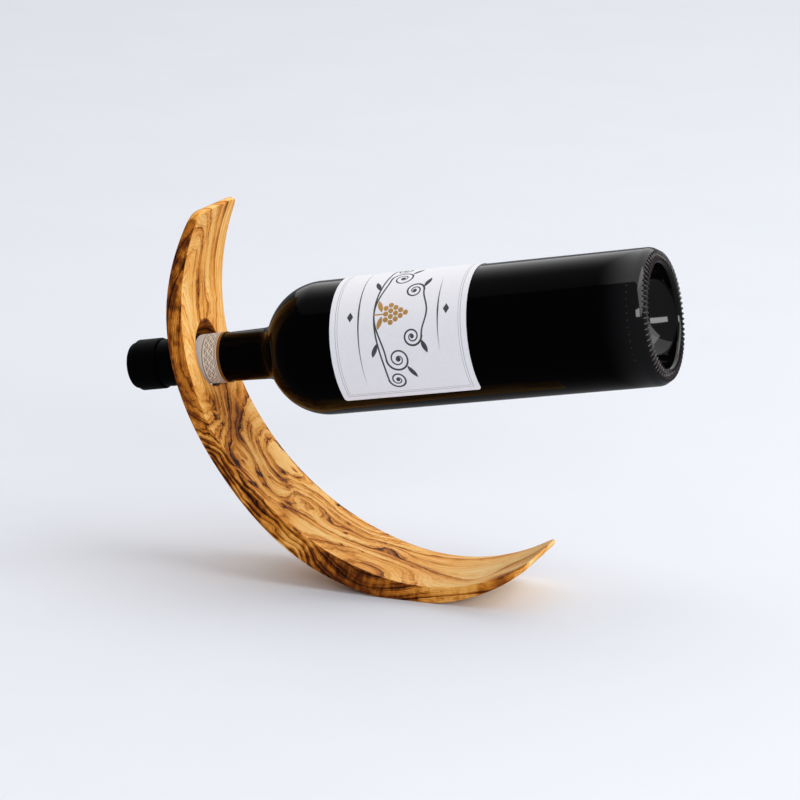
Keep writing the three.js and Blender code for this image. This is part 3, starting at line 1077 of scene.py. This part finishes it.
@dataclass
class Crescent:
    """The carved crescent: three arcs, a tapering section, a slanted neck hole and a flat foot."""

    arcs: tuple[tuple[float, float], ...] = ((133.0, 133.0), (158.0, 115.0), (105.0, 89.0))
    horn_lean: float = 23.5  # of the horn's end, from upright
    foot_cut: float = 1.2  # sanded off the lowest stretch
    places: tuple[float, ...] = (0.0, 55.0, 140.0, 215.0, 280.0, 337.0)
    walls: tuple[float, ...] = (4.5, 9.0, 9.5, 13.5, 9.5, 2.5)
    width: float = 60.0
    horn_width: float = 52.0
    taper_length: float = 150.0
    horn_corner: float = 5.0
    toe_corner: float = 9.0
    end_rounding: float = 2.0
    edge_ease: float = 0.8
    hole_place: float = 88.6
    hole_bow: float = 0.9  # set of the drill towards the hollow side
    hole_radius: float = 15.57
    drill_tilt: float = 32.0  # from square to the face
    hole_frame: tuple[float, float] = (29.0, 0.67)  # half length, and share of the half width
    hole_inset: float = 2.0  # of the ring of faces round the hole, on the flat plate
    hole_rings: int = 3  # further rings between it and the hole
    rows: int = 72
    columns: int = 12
    end_crowding: float = 0.65  # of the rows towards the ends
    edge_crowding: float = 1.6  # of the columns towards the edges
    sharp_angle: float = 38.0  # edges above it are eased
    foot: tuple[float, float] = field(init=False, default=(0.0, 0.0))

    def __post_init__(self) -> None:
        """Finds the middle of the flat foot, seen from the horn's end."""
        outer = [self.face(self.length * i / 4000, True) for i in range(4001)]
        floor = min(z for _, z in outer) + self.foot_cut
        under = [x for x, z in outer if z < floor]
        self.foot = ((under[0] + under[-1]) / 2, floor)

    @property
    def length(self) -> float:
        """Length of the inner face."""
        return sum(length for _, length in self.arcs)

    def wall(self, place: float) -> float:
        """Thickness of the wood, on a smooth cubic through the given walls.

        Args:
            place: distance along the inner face from the horn's end.

        Returns:
            The thickness.
        """
        last = len(self.places) - 2
        i = max(k for k in range(last + 1) if self.places[k] <= max(place, 0.0))
        start, end = self.places[i], self.places[i + 1]
        before, v_before = (self.places[i - 1], self.walls[i - 1]) if i else (end, self.walls[1])
        after, v_after = (self.places[i + 2], self.walls[i + 2]) if i < last else (start, self.walls[last])
        half = (end - start) / 2
        wp, wn = half / (start - before), half / (after - end)
        p = (place - start) / (end - start)
        return (
            (-wp * p**3 + 2 * wp * p**2 - wp * p) * v_before
            + ((1 + wp) * p**3 + (-1.5 - 2 * wp) * p**2 + (-0.5 + wp) * p + 1) * self.walls[i]
            + ((-1 - wn) * p**3 + (1.5 + wn) * p**2 + 0.5 * p) * self.walls[i + 1]
            + (wn * p**3 - wn * p**2) * v_after
        )

    def face(self, place: float, outer: bool, row: Optional[float] = None) -> tuple[float, float]:
        """X and Z of a face of the wood.

        Args:
            place: distance along the inner face from the horn's end.
            outer: whether the outer face is meant.
            row: distance that the rounding of the ends is read at, if not the place.

        Returns:
            The point.
        """
        x, z = -self.foot[0], -self.foot[1]
        heading = -math.radians(90 + self.horn_lean)
        left = place
        for i, (radius, length) in enumerate(self.arcs):
            run = left if i == len(self.arcs) - 1 else min(left, length)
            ahead = heading + run / radius
            x += radius * (math.sin(ahead) - math.sin(heading))
            z -= radius * (math.cos(ahead) - math.cos(heading))
            heading = ahead
            left -= run
        if not outer:
            return x, z
        row = place if row is None else row
        wall = self.wall(place)
        round_end = min(self.end_rounding, wall / 2)
        thick = wall - drawn_in(round_end, row) - drawn_in(round_end, self.length - row)
        return x + thick * math.sin(heading), z - thick * math.cos(heading)

    def half_width(self, place: float) -> float:
        """Half of the width, before the corners are rounded."""
        taper = max(1 - place / self.taper_length, 0.0) ** 2
        return self.width / 2 - (self.width - self.horn_width) / 2 * taper

    @property
    def hole_angle(self) -> float:
        """Angle of the drill above level, in radians."""
        (x, z), (back, low) = self.face(self.hole_place, False), self.face(self.hole_place, True)
        return math.atan2(z - low, x - back) + math.radians(self.drill_tilt)

    @property
    def hole_middle(self) -> tuple[float, float]:
        """X and Z of the middle of the neck hole."""
        (x, z), (back, low) = self.face(self.hole_place, False), self.face(self.hole_place, True)
        return (x + back) / 2 + self.hole_bow, (z + low) / 2

    def lip(self, turn: float, outer: bool) -> float:
        """Place along the crescent where the neck hole's wall meets a face.

        Args:
            turn: angle round the hole, from its side towards the horn.
            outer: whether the outer face is meant.

        Returns:
            The place, found by halving.
        """
        drill, (middle_x, middle_z) = self.hole_angle, self.hole_middle
        wanted = self.hole_radius * math.cos(turn)
        low, high = self.hole_place - 45.0, self.hole_place + 45.0
        for _ in range(40):
            place = (low + high) / 2
            x, z = self.face(place, outer)
            reach = (z - middle_z) * math.cos(drill) - (x - middle_x) * math.sin(drill)
            low, high = (place, high) if reach > wanted else (low, place)
        return place

    def hole_turn(self, place: float, y: float) -> float:
        """Angle round the hole of a point of the inner face.

        Args:
            place: distance along the inner face from the horn's end.
            y: place across.

        Returns:
            The angle, from the hole's side towards the horn.
        """
        middle = (self.lip(0.0, False) + self.lip(math.pi, False)) / 2
        stretch = (self.lip(math.pi, False) - self.lip(0.0, False)) / (2 * self.hole_radius)
        return math.atan2(y, (middle - place) / stretch)

    def plate(self) -> bmesh.types.BMesh:
        """The inner face laid flat, with a ring of faces round the neck hole.

        Returns:
            A mesh whose X is the row along the crescent, Y the place across, and Z the pull of the hole.
        """
        bm = bmesh.new()
        bmesh.ops.create_grid(bm, x_segments=self.rows, y_segments=self.columns, size=1.0)
        for vert in bm.verts:
            share = (vert.co.x + 1) / 2
            crowded = (1 - math.cos(math.pi * share)) / 2
            row = self.length * (share + (crowded - share) * self.end_crowding)
            out = 1 - (1 - abs(vert.co.y)) ** self.edge_crowding
            vert.co = (row, math.copysign(out, vert.co.y) * self.half_width(row), 0.0)
        long_half, wide_share = self.hole_frame
        inside = [
            f
            for f in bm.faces
            if abs(f.calc_center_median().x - self.hole_place) < long_half
            and abs(f.calc_center_median().y) < wide_share * self.width / 2
        ]
        made = bmesh.ops.inset_region(
            bm, faces=inside, thickness=self.hole_inset, use_boundary=True, use_even_offset=True
        )
        bmesh.ops.delete(bm, geom=inside, context="FACES")
        for vert in {v for f in made["faces"] for v in f.verts if v.is_boundary}:
            turn = self.hole_turn(vert.co.x, vert.co.y)
            vert.co = (self.lip(turn, False), self.hole_radius * math.sin(turn), 1.0)
        spokes = [e for e in bm.edges if abs(e.verts[0].co.z - e.verts[1].co.z) > 0.5]
        bmesh.ops.subdivide_edges(bm, edges=spokes, cuts=self.hole_rings, use_grid_fill=True)
        return bm

    def bend(self, vert: bmesh.types.BMVert, outer: bool) -> None:
        """Moves a vertex of the flat plate onto a face of the wood.

        Args:
            vert: the vertex.
            outer: whether the outer face is meant.
        """
        row, y, pull = vert.co
        share = abs(y) / self.half_width(row)
        horn = drawn_in(self.horn_corner, (1 - share) * self.horn_width / 2)
        toe = drawn_in(self.toe_corner, (1 - share) * self.width / 2)
        place = horn + row / self.length * (self.length - horn - toe)
        if outer and pull > 0:
            turn = self.hole_turn(row, y)
            place += pull * (self.lip(turn, True) - self.lip(turn, False))
        x, z = self.face(place, outer, row)
        vert.co = Vector((x, y, max(z, 0.0))) * MM

    def build(self) -> bpy.types.Object:
        """Makes the crescent and lets it stand for its node.

        Returns:
            The carved crescent.
        """
        bm = self.plate()
        inner = bm.verts[:]
        outer = doubled(bm)
        for vert in inner:
            self.bend(vert, False)
        for vert in outer:
            self.bend(vert, True)
        bmesh.ops.recalc_face_normals(bm, faces=bm.faces)
        sharp_from = math.radians(self.sharp_angle)
        sharp = [e for e in bm.edges if len(e.link_faces) == 2 and e.calc_face_angle() > sharp_from]
        eased(bm, sharp, self.edge_ease * MM, 2, "EDGES")
        for vert in bm.verts:
            vert.co.z = max(vert.co.z, 0.0)
        narrowing = (self.width - self.horn_width) / 2
        finish = OliveWood(
            self.width / 2, narrowing, self.taper_length, self.hole_middle, self.hole_radius, self.hole_angle
        )
        made = piece("carved_crescent", bm, finish.material(), Body.HOLDER, 180.0)
        smooth = made.modifiers.new("smooth", "SUBSURF")
        smooth.levels = smooth.render_levels = 2
        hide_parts("crescent")
        return made


@dataclass
class Bottle:
    """The bottle: hollow glass with a punt, its capsule, paper strip and label, and what it holds."""

    body_radius: float = 36.8
    body_length: float = 192.5
    heel_radius: float = 6.0
    bearing_width: float = 1.2
    punt_depth: float = 24.0
    punt_edge: float = 2.0
    shoulder_radius: float = 33.0
    shoulder_fillet: float = 10.0
    lower_neck: float = 14.2
    upper_neck: float = 12.6
    ring_radius: float = 13.65
    ring_chamfer: float = 0.8
    lip_radius: float = 12.3
    lip_rounding: float = 1.4
    bore: float = 9.25
    wall: float = 2.6
    base_wall: float = 4.5
    inner_heel: float = 5.0
    neck_length: float = 63.2
    ring_length: float = 13.4
    lip_length: float = 3.8
    foil_gap: float = 0.25
    foil: float = 0.35
    paper_gap: float = 0.25
    paper: float = 0.3
    strip_place: float = 22.6
    strip_width: float = 15.5
    skirt_gap: float = 0.6
    skirt_edge: float = 0.8
    label_low: float = 97.4
    label_height: float = 78.5
    label_width: float = 99.0
    label_turn: float = -56.0
    label_corner: float = 1.8
    knurls: int = 72
    knurl_size: tuple[float, float, float] = (3.0, 0.75, 1.0)  # half sizes outwards, round and up
    knurl_place: tuple[float, float] = (1.2, 0.25)  # outwards from the bearing ring, and up
    knurl_slope: float = 15.0
    dots: int = 16
    dot_size: tuple[float, float, float] = (0.2, 0.35, 0.45)
    dot_height: float = 9.0
    first_dot: float = -115.0
    dot_step: float = 5.8
    groove: tuple[float, float, float] = (9.2, 0.4, 0.25)  # in the capsule's top: radius, half width, depth
    body_rings: tuple[float, float] = (60.0, 126.0)
    strip_rings: int = 6
    label_grid: tuple[int, int] = (44, 24)
    steps: int = 128
    neck_steps: int = 96

    @property
    def rig(self) -> Rig:
        """The frame's roll joint.

        Returns:
            A frame with Z from the bearing ring to the mouth and X on the upper side.
        """
        roll = next(joint for joint in frame["joints"] if joint["name"] == ROLL_JOINT)
        x, _, z = roll["axis"]
        return Rig(tuple(roll["pos_m"]), (0.0, -math.pi / 2 - math.atan2(z, x), 0.0))

    @property
    def shoulder_end(self) -> float:
        """Height where the shoulder's fillet runs out into the neck."""
        return self.shoulder(0.0, self.lower_neck)[-1][1]

    @property
    def ring_start(self) -> float:
        """Height of the lower edge of the ring."""
        return self.shoulder_end + self.neck_length

    @property
    def mouth(self) -> float:
        """Height of the mouth."""
        return self.ring_start + self.ring_length + self.lip_length

    @property
    def bearing(self) -> float:
        """Outer radius of the ring that the bottle stands on."""
        return self.body_radius - self.heel_radius

    def neck(self, height: float) -> float:
        """Outside radius of the glass neck."""
        share = (height - self.shoulder_end) / self.neck_length
        return self.lower_neck + (self.upper_neck - self.lower_neck) * share

    def shoulder(self, inset: float, radius: float) -> Profile:
        """Shoulder from the body into the neck.

        Args:
            inset: how far it lies within the outside of the glass.
            radius: radius of the neck.

        Returns:
            Its profile, upwards.
        """
        round_, middle = self.shoulder_radius - inset, self.body_radius - self.shoulder_radius
        across = radius + self.shoulder_fillet - middle
        rise = math.sqrt((round_ + self.shoulder_fillet) ** 2 - across**2)
        turn = math.atan2(rise, across)
        end = self.body_length + rise
        return (
            arc(middle, self.body_length, round_, 0.0, turn, 22)
            + arc(radius + self.shoulder_fillet, end, self.shoulder_fillet, turn + math.pi, math.pi, 9)[1:]
        )

    def dome(self, radius: float, height: float) -> Profile:
        """Dome of the punt.

        Args:
            radius: radius of its edge.
            height: height of its edge.

        Returns:
            Its profile, from the top down.
        """
        round_ = (radius**2 + self.punt_depth**2) / (2 * self.punt_depth)
        turn = math.asin(radius / round_)
        points = arc(0.0, height + self.punt_depth - round_, round_, math.pi / 2, math.pi / 2 - turn, 18)
        return [(0.0, points[0][1])] + points[1:]

    def finish_outline(self, cover: float) -> Profile:
        """Ring, lip and rounded mouth.

        Args:
            cover: thickness of a cover that swells them.

        Returns:
            Their profile, upwards.
        """
        start, end = self.ring_start - cover, self.ring_start + self.ring_length + cover
        ring, lip = self.ring_radius + cover, self.lip_radius + cover
        ease, round_ = self.ring_chamfer, self.lip_rounding + cover
        return (
            [(self.upper_neck + cover, start)]
            + arc(ring - ease, start + ease, ease, -math.pi / 2, 0.0, 4)
            + arc(ring - ease, end - ease, ease, 0.0, math.pi / 2, 4)
            + [(lip, end)]
            + arc(lip - round_, self.mouth + cover - round_, round_, 0.0, math.pi / 2, 6)
        )

    def glass(self) -> bpy.types.Object:
        """Makes the hollow glass.

        Returns:
            The piece.
        """
        punt = self.bearing - self.bearing_width - self.punt_edge
        floor = self.punt_edge + self.base_wall
        inner = self.body_radius - self.wall
        edge = self.bearing - self.bearing_width
        outside = (
            self.dome(punt, self.punt_edge)
            + arc(edge, self.punt_edge, self.punt_edge, math.pi, 1.5 * math.pi, 5)[1:]
            + arc(self.bearing, self.heel_radius, self.heel_radius, -math.pi / 2, 0.0, 10)
            + [(self.body_radius, height) for height in self.body_rings]
            + self.shoulder(0.0, self.lower_neck)
            + self.finish_outline(0.0)
            + [(self.bore, self.mouth)]
        )
        cavity = (
            self.dome(min(punt, inner - self.inner_heel), floor)
            + arc(inner - self.inner_heel, floor + self.inner_heel, self.inner_heel, -math.pi / 2, 0.0, 5)
            + self.shoulder(self.wall, self.bore)
        )
        bm = turned(outside + cavity[::-1], self.steps)
        bmesh.ops.transform(bm, matrix=self.rig.matrix, verts=bm.verts)
        finish = DarkGlass(self.rig, edge).material()
        made = piece("hollow_glass", bm, finish, Body.BOTTLE)
        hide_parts("bottle_glass")
        return made

    def knurl_ring(self) -> bpy.types.Object:
        """Makes short ribs round the bearing ring and a row of mould dots above the heel.

        Returns:
            The piece.
        """
        bm = bmesh.new()
        out, up = self.knurl_place
        rib = (
            Matrix.Translation(Vector((self.bearing + out, 0.0, up)) * MM)
            @ Matrix.Rotation(math.radians(-self.knurl_slope), 4, "Y")
            @ Matrix.Diagonal((*(Vector(self.knurl_size) * MM), 1.0))
        )
        made = bmesh.ops.create_uvsphere(bm, u_segments=8, v_segments=5, radius=1.0, matrix=rib)
        shape = made["verts"] + list({e for v in made["verts"] for e in v.link_edges})
        shape += list({f for v in made["verts"] for f in v.link_faces})
        bmesh.ops.spin(
            bm,
            geom=shape,
            cent=(0, 0, 0),
            axis=(0, 0, 1),
            angle=math.tau * (1 - 1 / self.knurls),
            steps=self.knurls - 1,
            use_duplicate=True,
        )
        for i in range(self.dots):
            dot = (
                Matrix.Rotation(math.radians(self.first_dot + self.dot_step * i), 4, "Z")
                @ Matrix.Translation(Vector((self.body_radius, 0.0, self.dot_height)) * MM)
                @ Matrix.Diagonal((*(Vector(self.dot_size) * MM), 1.0))
            )
            bmesh.ops.create_uvsphere(bm, u_segments=8, v_segments=5, radius=1.0, matrix=dot)
        bmesh.ops.recalc_face_normals(bm, faces=bm.faces)
        bmesh.ops.transform(bm, matrix=self.rig.matrix, verts=bm.verts)
        finish = bpy.data.materials["dark_glass"]
        return piece("base_knurls", bm, finish, Body.BOTTLE)

    def capsule(self) -> bpy.types.Object:
        """Makes the thin capsule over the mouth, the ring and the upper neck.

        Returns:
            The piece.
        """
        cover = self.foil_gap + self.foil
        skirt = self.shoulder_end + self.strip_place + self.strip_width + self.skirt_gap
        inside = [(0.0, self.mouth + self.foil_gap)] + self.finish_outline(self.foil_gap)[::-1]
        skirt_edge = [
            (self.neck(skirt) + self.foil_gap, skirt),
            (self.neck(skirt) + cover, skirt),
            (self.neck(skirt + self.skirt_edge) + cover, skirt + self.skirt_edge),
        ]
        top = self.mouth + cover
        radius, half, depth = self.groove
        groove = [(radius + half, top), (radius, top - depth), (radius - half, top)]
        outside = self.finish_outline(cover) + groove + [(0.0, top)]
        bm = turned(inside + skirt_edge + outside, self.neck_steps)
        bmesh.ops.transform(bm, matrix=self.rig.matrix, verts=bm.verts)
        made = piece("foil_capsule", bm, BlackFoil(self.rig).material(), Body.BOTTLE)
        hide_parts("capsule")
        return made

    def strip(self) -> bpy.types.Object:
        """Makes the paper strip round the neck.

        Returns:
            The piece.
        """
        low = self.shoulder_end + self.strip_place
        levels = [low + self.strip_width * i / self.strip_rings for i in range(self.strip_rings + 1)]
        inside = [(self.neck(h) + self.paper_gap, h) for h in levels]
        outside = [(r + self.paper, h) for r, h in inside]
        bm = turned(inside + outside[::-1], self.neck_steps, ring=True)
        bmesh.ops.transform(bm, matrix=self.rig.matrix, verts=bm.verts)
        finish = StripPaper(self.rig, low).material()
        made = piece("neck_paper", bm, finish, Body.BOTTLE)
        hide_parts("neck_strip")
        return made

    def label(self) -> bpy.types.Object:
        """Makes the paper label, bent round the body, with eased corners.

        Returns:
            The piece.
        """
        bm = bmesh.new()
        columns, rows = self.label_grid
        bmesh.ops.create_grid(bm, x_segments=columns, y_segments=rows, size=0.5)
        bmesh.ops.scale(bm, vec=(self.label_width, self.label_height, 1.0), verts=bm.verts)
        corners = [v for v in bm.verts if len(v.link_faces) == 1]
        eased(bm, corners, self.label_corner, 4, "VERTICES")
        inside = bm.verts[:]
        outside = set(doubled(bm))
        inner = self.body_radius + self.paper_gap
        for vert in inside + list(outside):
            radius = inner + (self.paper if vert in outside else 0.0)
            turn = math.radians(self.label_turn) + vert.co.x / (inner + self.paper)
            height = self.label_low + self.label_height / 2 + vert.co.y
            vert.co = Vector((radius * math.cos(turn), radius * math.sin(turn), height)) * MM
        bmesh.ops.recalc_face_normals(bm, faces=bm.faces)
        bmesh.ops.transform(bm, matrix=self.rig.matrix, verts=bm.verts)
        finish = LabelPaper(
            self.rig, self.label_turn, inner + self.paper, self.label_low, self.label_width, self.label_height
        )
        made = piece("paper_label", bm, finish.material(), Body.BOTTLE)
        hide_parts("front_label")
        return made

    def contents(self) -> None:
        """Gives the cork and the wine, which keep their own solids, their finishes."""
        for node, finish in (("cork", CorkBark(self.rig)), ("wine", RedWine(self.rig))):
            slots = frame["nodes"][node].data.materials
            slots.clear()
            slots.append(finish.material())
            LOG.info("node %s: new finish", node)

    def build(self) -> None:
        """Makes every piece of the bottle."""
        self.glass()
        self.knurl_ring()
        self.capsule()
        self.strip()
        self.label()
        self.contents()


@dataclass(frozen=True)
class Lamp:
    """A soft rectangular lamp, by its place, its width and height in metres, and its watts."""

    name: str
    place: tuple[float, float, float]
    size: tuple[float, float]
    power: float

    def build(self, aim: Vector) -> None:
        """Hangs the lamp.

        Args:
            aim: the point that it faces.
        """
        data = bpy.data.lights.new(self.name, "AREA")
        data.shape, data.energy = "RECTANGLE", self.power
        data.size, data.size_y = self.size
        made = bpy.data.objects.new(self.name, data)
        made.location = self.place
        made.rotation_euler = (aim - Vector(self.place)).to_track_quat("-Z", "Y").to_euler()
        bpy.context.collection.objects.link(made)


@dataclass
class Studio:
    """Pale floor, soft light and the camera, in metres; the lens and the sensor are millimetres."""

    floor_size: float = 9.0
    camera_place: tuple[float, float, float] = (0.5659, -1.5463, 0.5314)
    camera_aim: tuple[float, float, float] = (0.0013, -0.0417, 0.1155)
    lens: float = 140.85
    sensor: float = 36.0
    sky: float = 0.245
    sky_colour: Colour = (0.94, 0.96, 1.0)
    lamp_aim: tuple[float, float, float] = (0.0, 0.0, 0.1)
    lamps: tuple[Lamp, ...] = (
        Lamp("top_lamp", (0.0, 1.8, 3.4), (8.0, 8.0), 206.0),
        Lamp("right_lamp", (2.4, 0.0, 2.1), (2.8, 2.8), 60.0),
        Lamp("window", (1.9, -2.3, 1.35), (2.2, 0.62), 30.0),
    )

    def floor(self) -> None:
        """A wide plain floor, kept out of the reflections."""
        bm = bmesh.new()
        bmesh.ops.create_grid(bm, x_segments=8, y_segments=8, size=self.floor_size / 2)
        mesh = bpy.data.meshes.new("floor")
        bm.to_mesh(mesh)
        bm.free()
        mesh.materials.append(PaleFloor().material())
        made = bpy.data.objects.new("floor", mesh)
        made.visible_glossy = False
        bpy.context.collection.objects.link(made)

    def light(self) -> None:
        """An even pale sky, a wide lamp above, one on the right and a window in front on the right."""
        world = bpy.data.worlds.new("studio")
        world.use_nodes = True
        back = world.node_tree.nodes["Background"]
        back.inputs["Color"].default_value = (*self.sky_colour, 1.0)
        back.inputs["Strength"].default_value = self.sky
        bpy.context.scene.world = world
        for lamp in self.lamps:
            lamp.build(Vector(self.lamp_aim))

    def camera(self) -> None:
        """The camera at the photograph's angle."""
        data = bpy.data.cameras.new("camera")
        data.lens, data.sensor_width = self.lens, self.sensor
        made = bpy.data.objects.new("camera", data)
        made.location = self.camera_place
        look = Vector(self.camera_aim) - Vector(self.camera_place)
        made.rotation_euler = look.to_track_quat("-Z", "Y").to_euler()
        bpy.context.collection.objects.link(made)
        bpy.context.scene.camera = made

    def build(self) -> None:
        """Sets the studio up."""
        self.camera()
        self.floor()
        self.light()
        bpy.context.scene.view_settings.view_transform = "Standard"


def main() -> None:
    """Builds the studio, the holder and the bottle, in that order."""
    logging.basicConfig(level=logging.INFO, format="%(message)s")
    Studio().build()
    Crescent().build()
    Bottle().build()


if __name__ == "__main__":
    main()
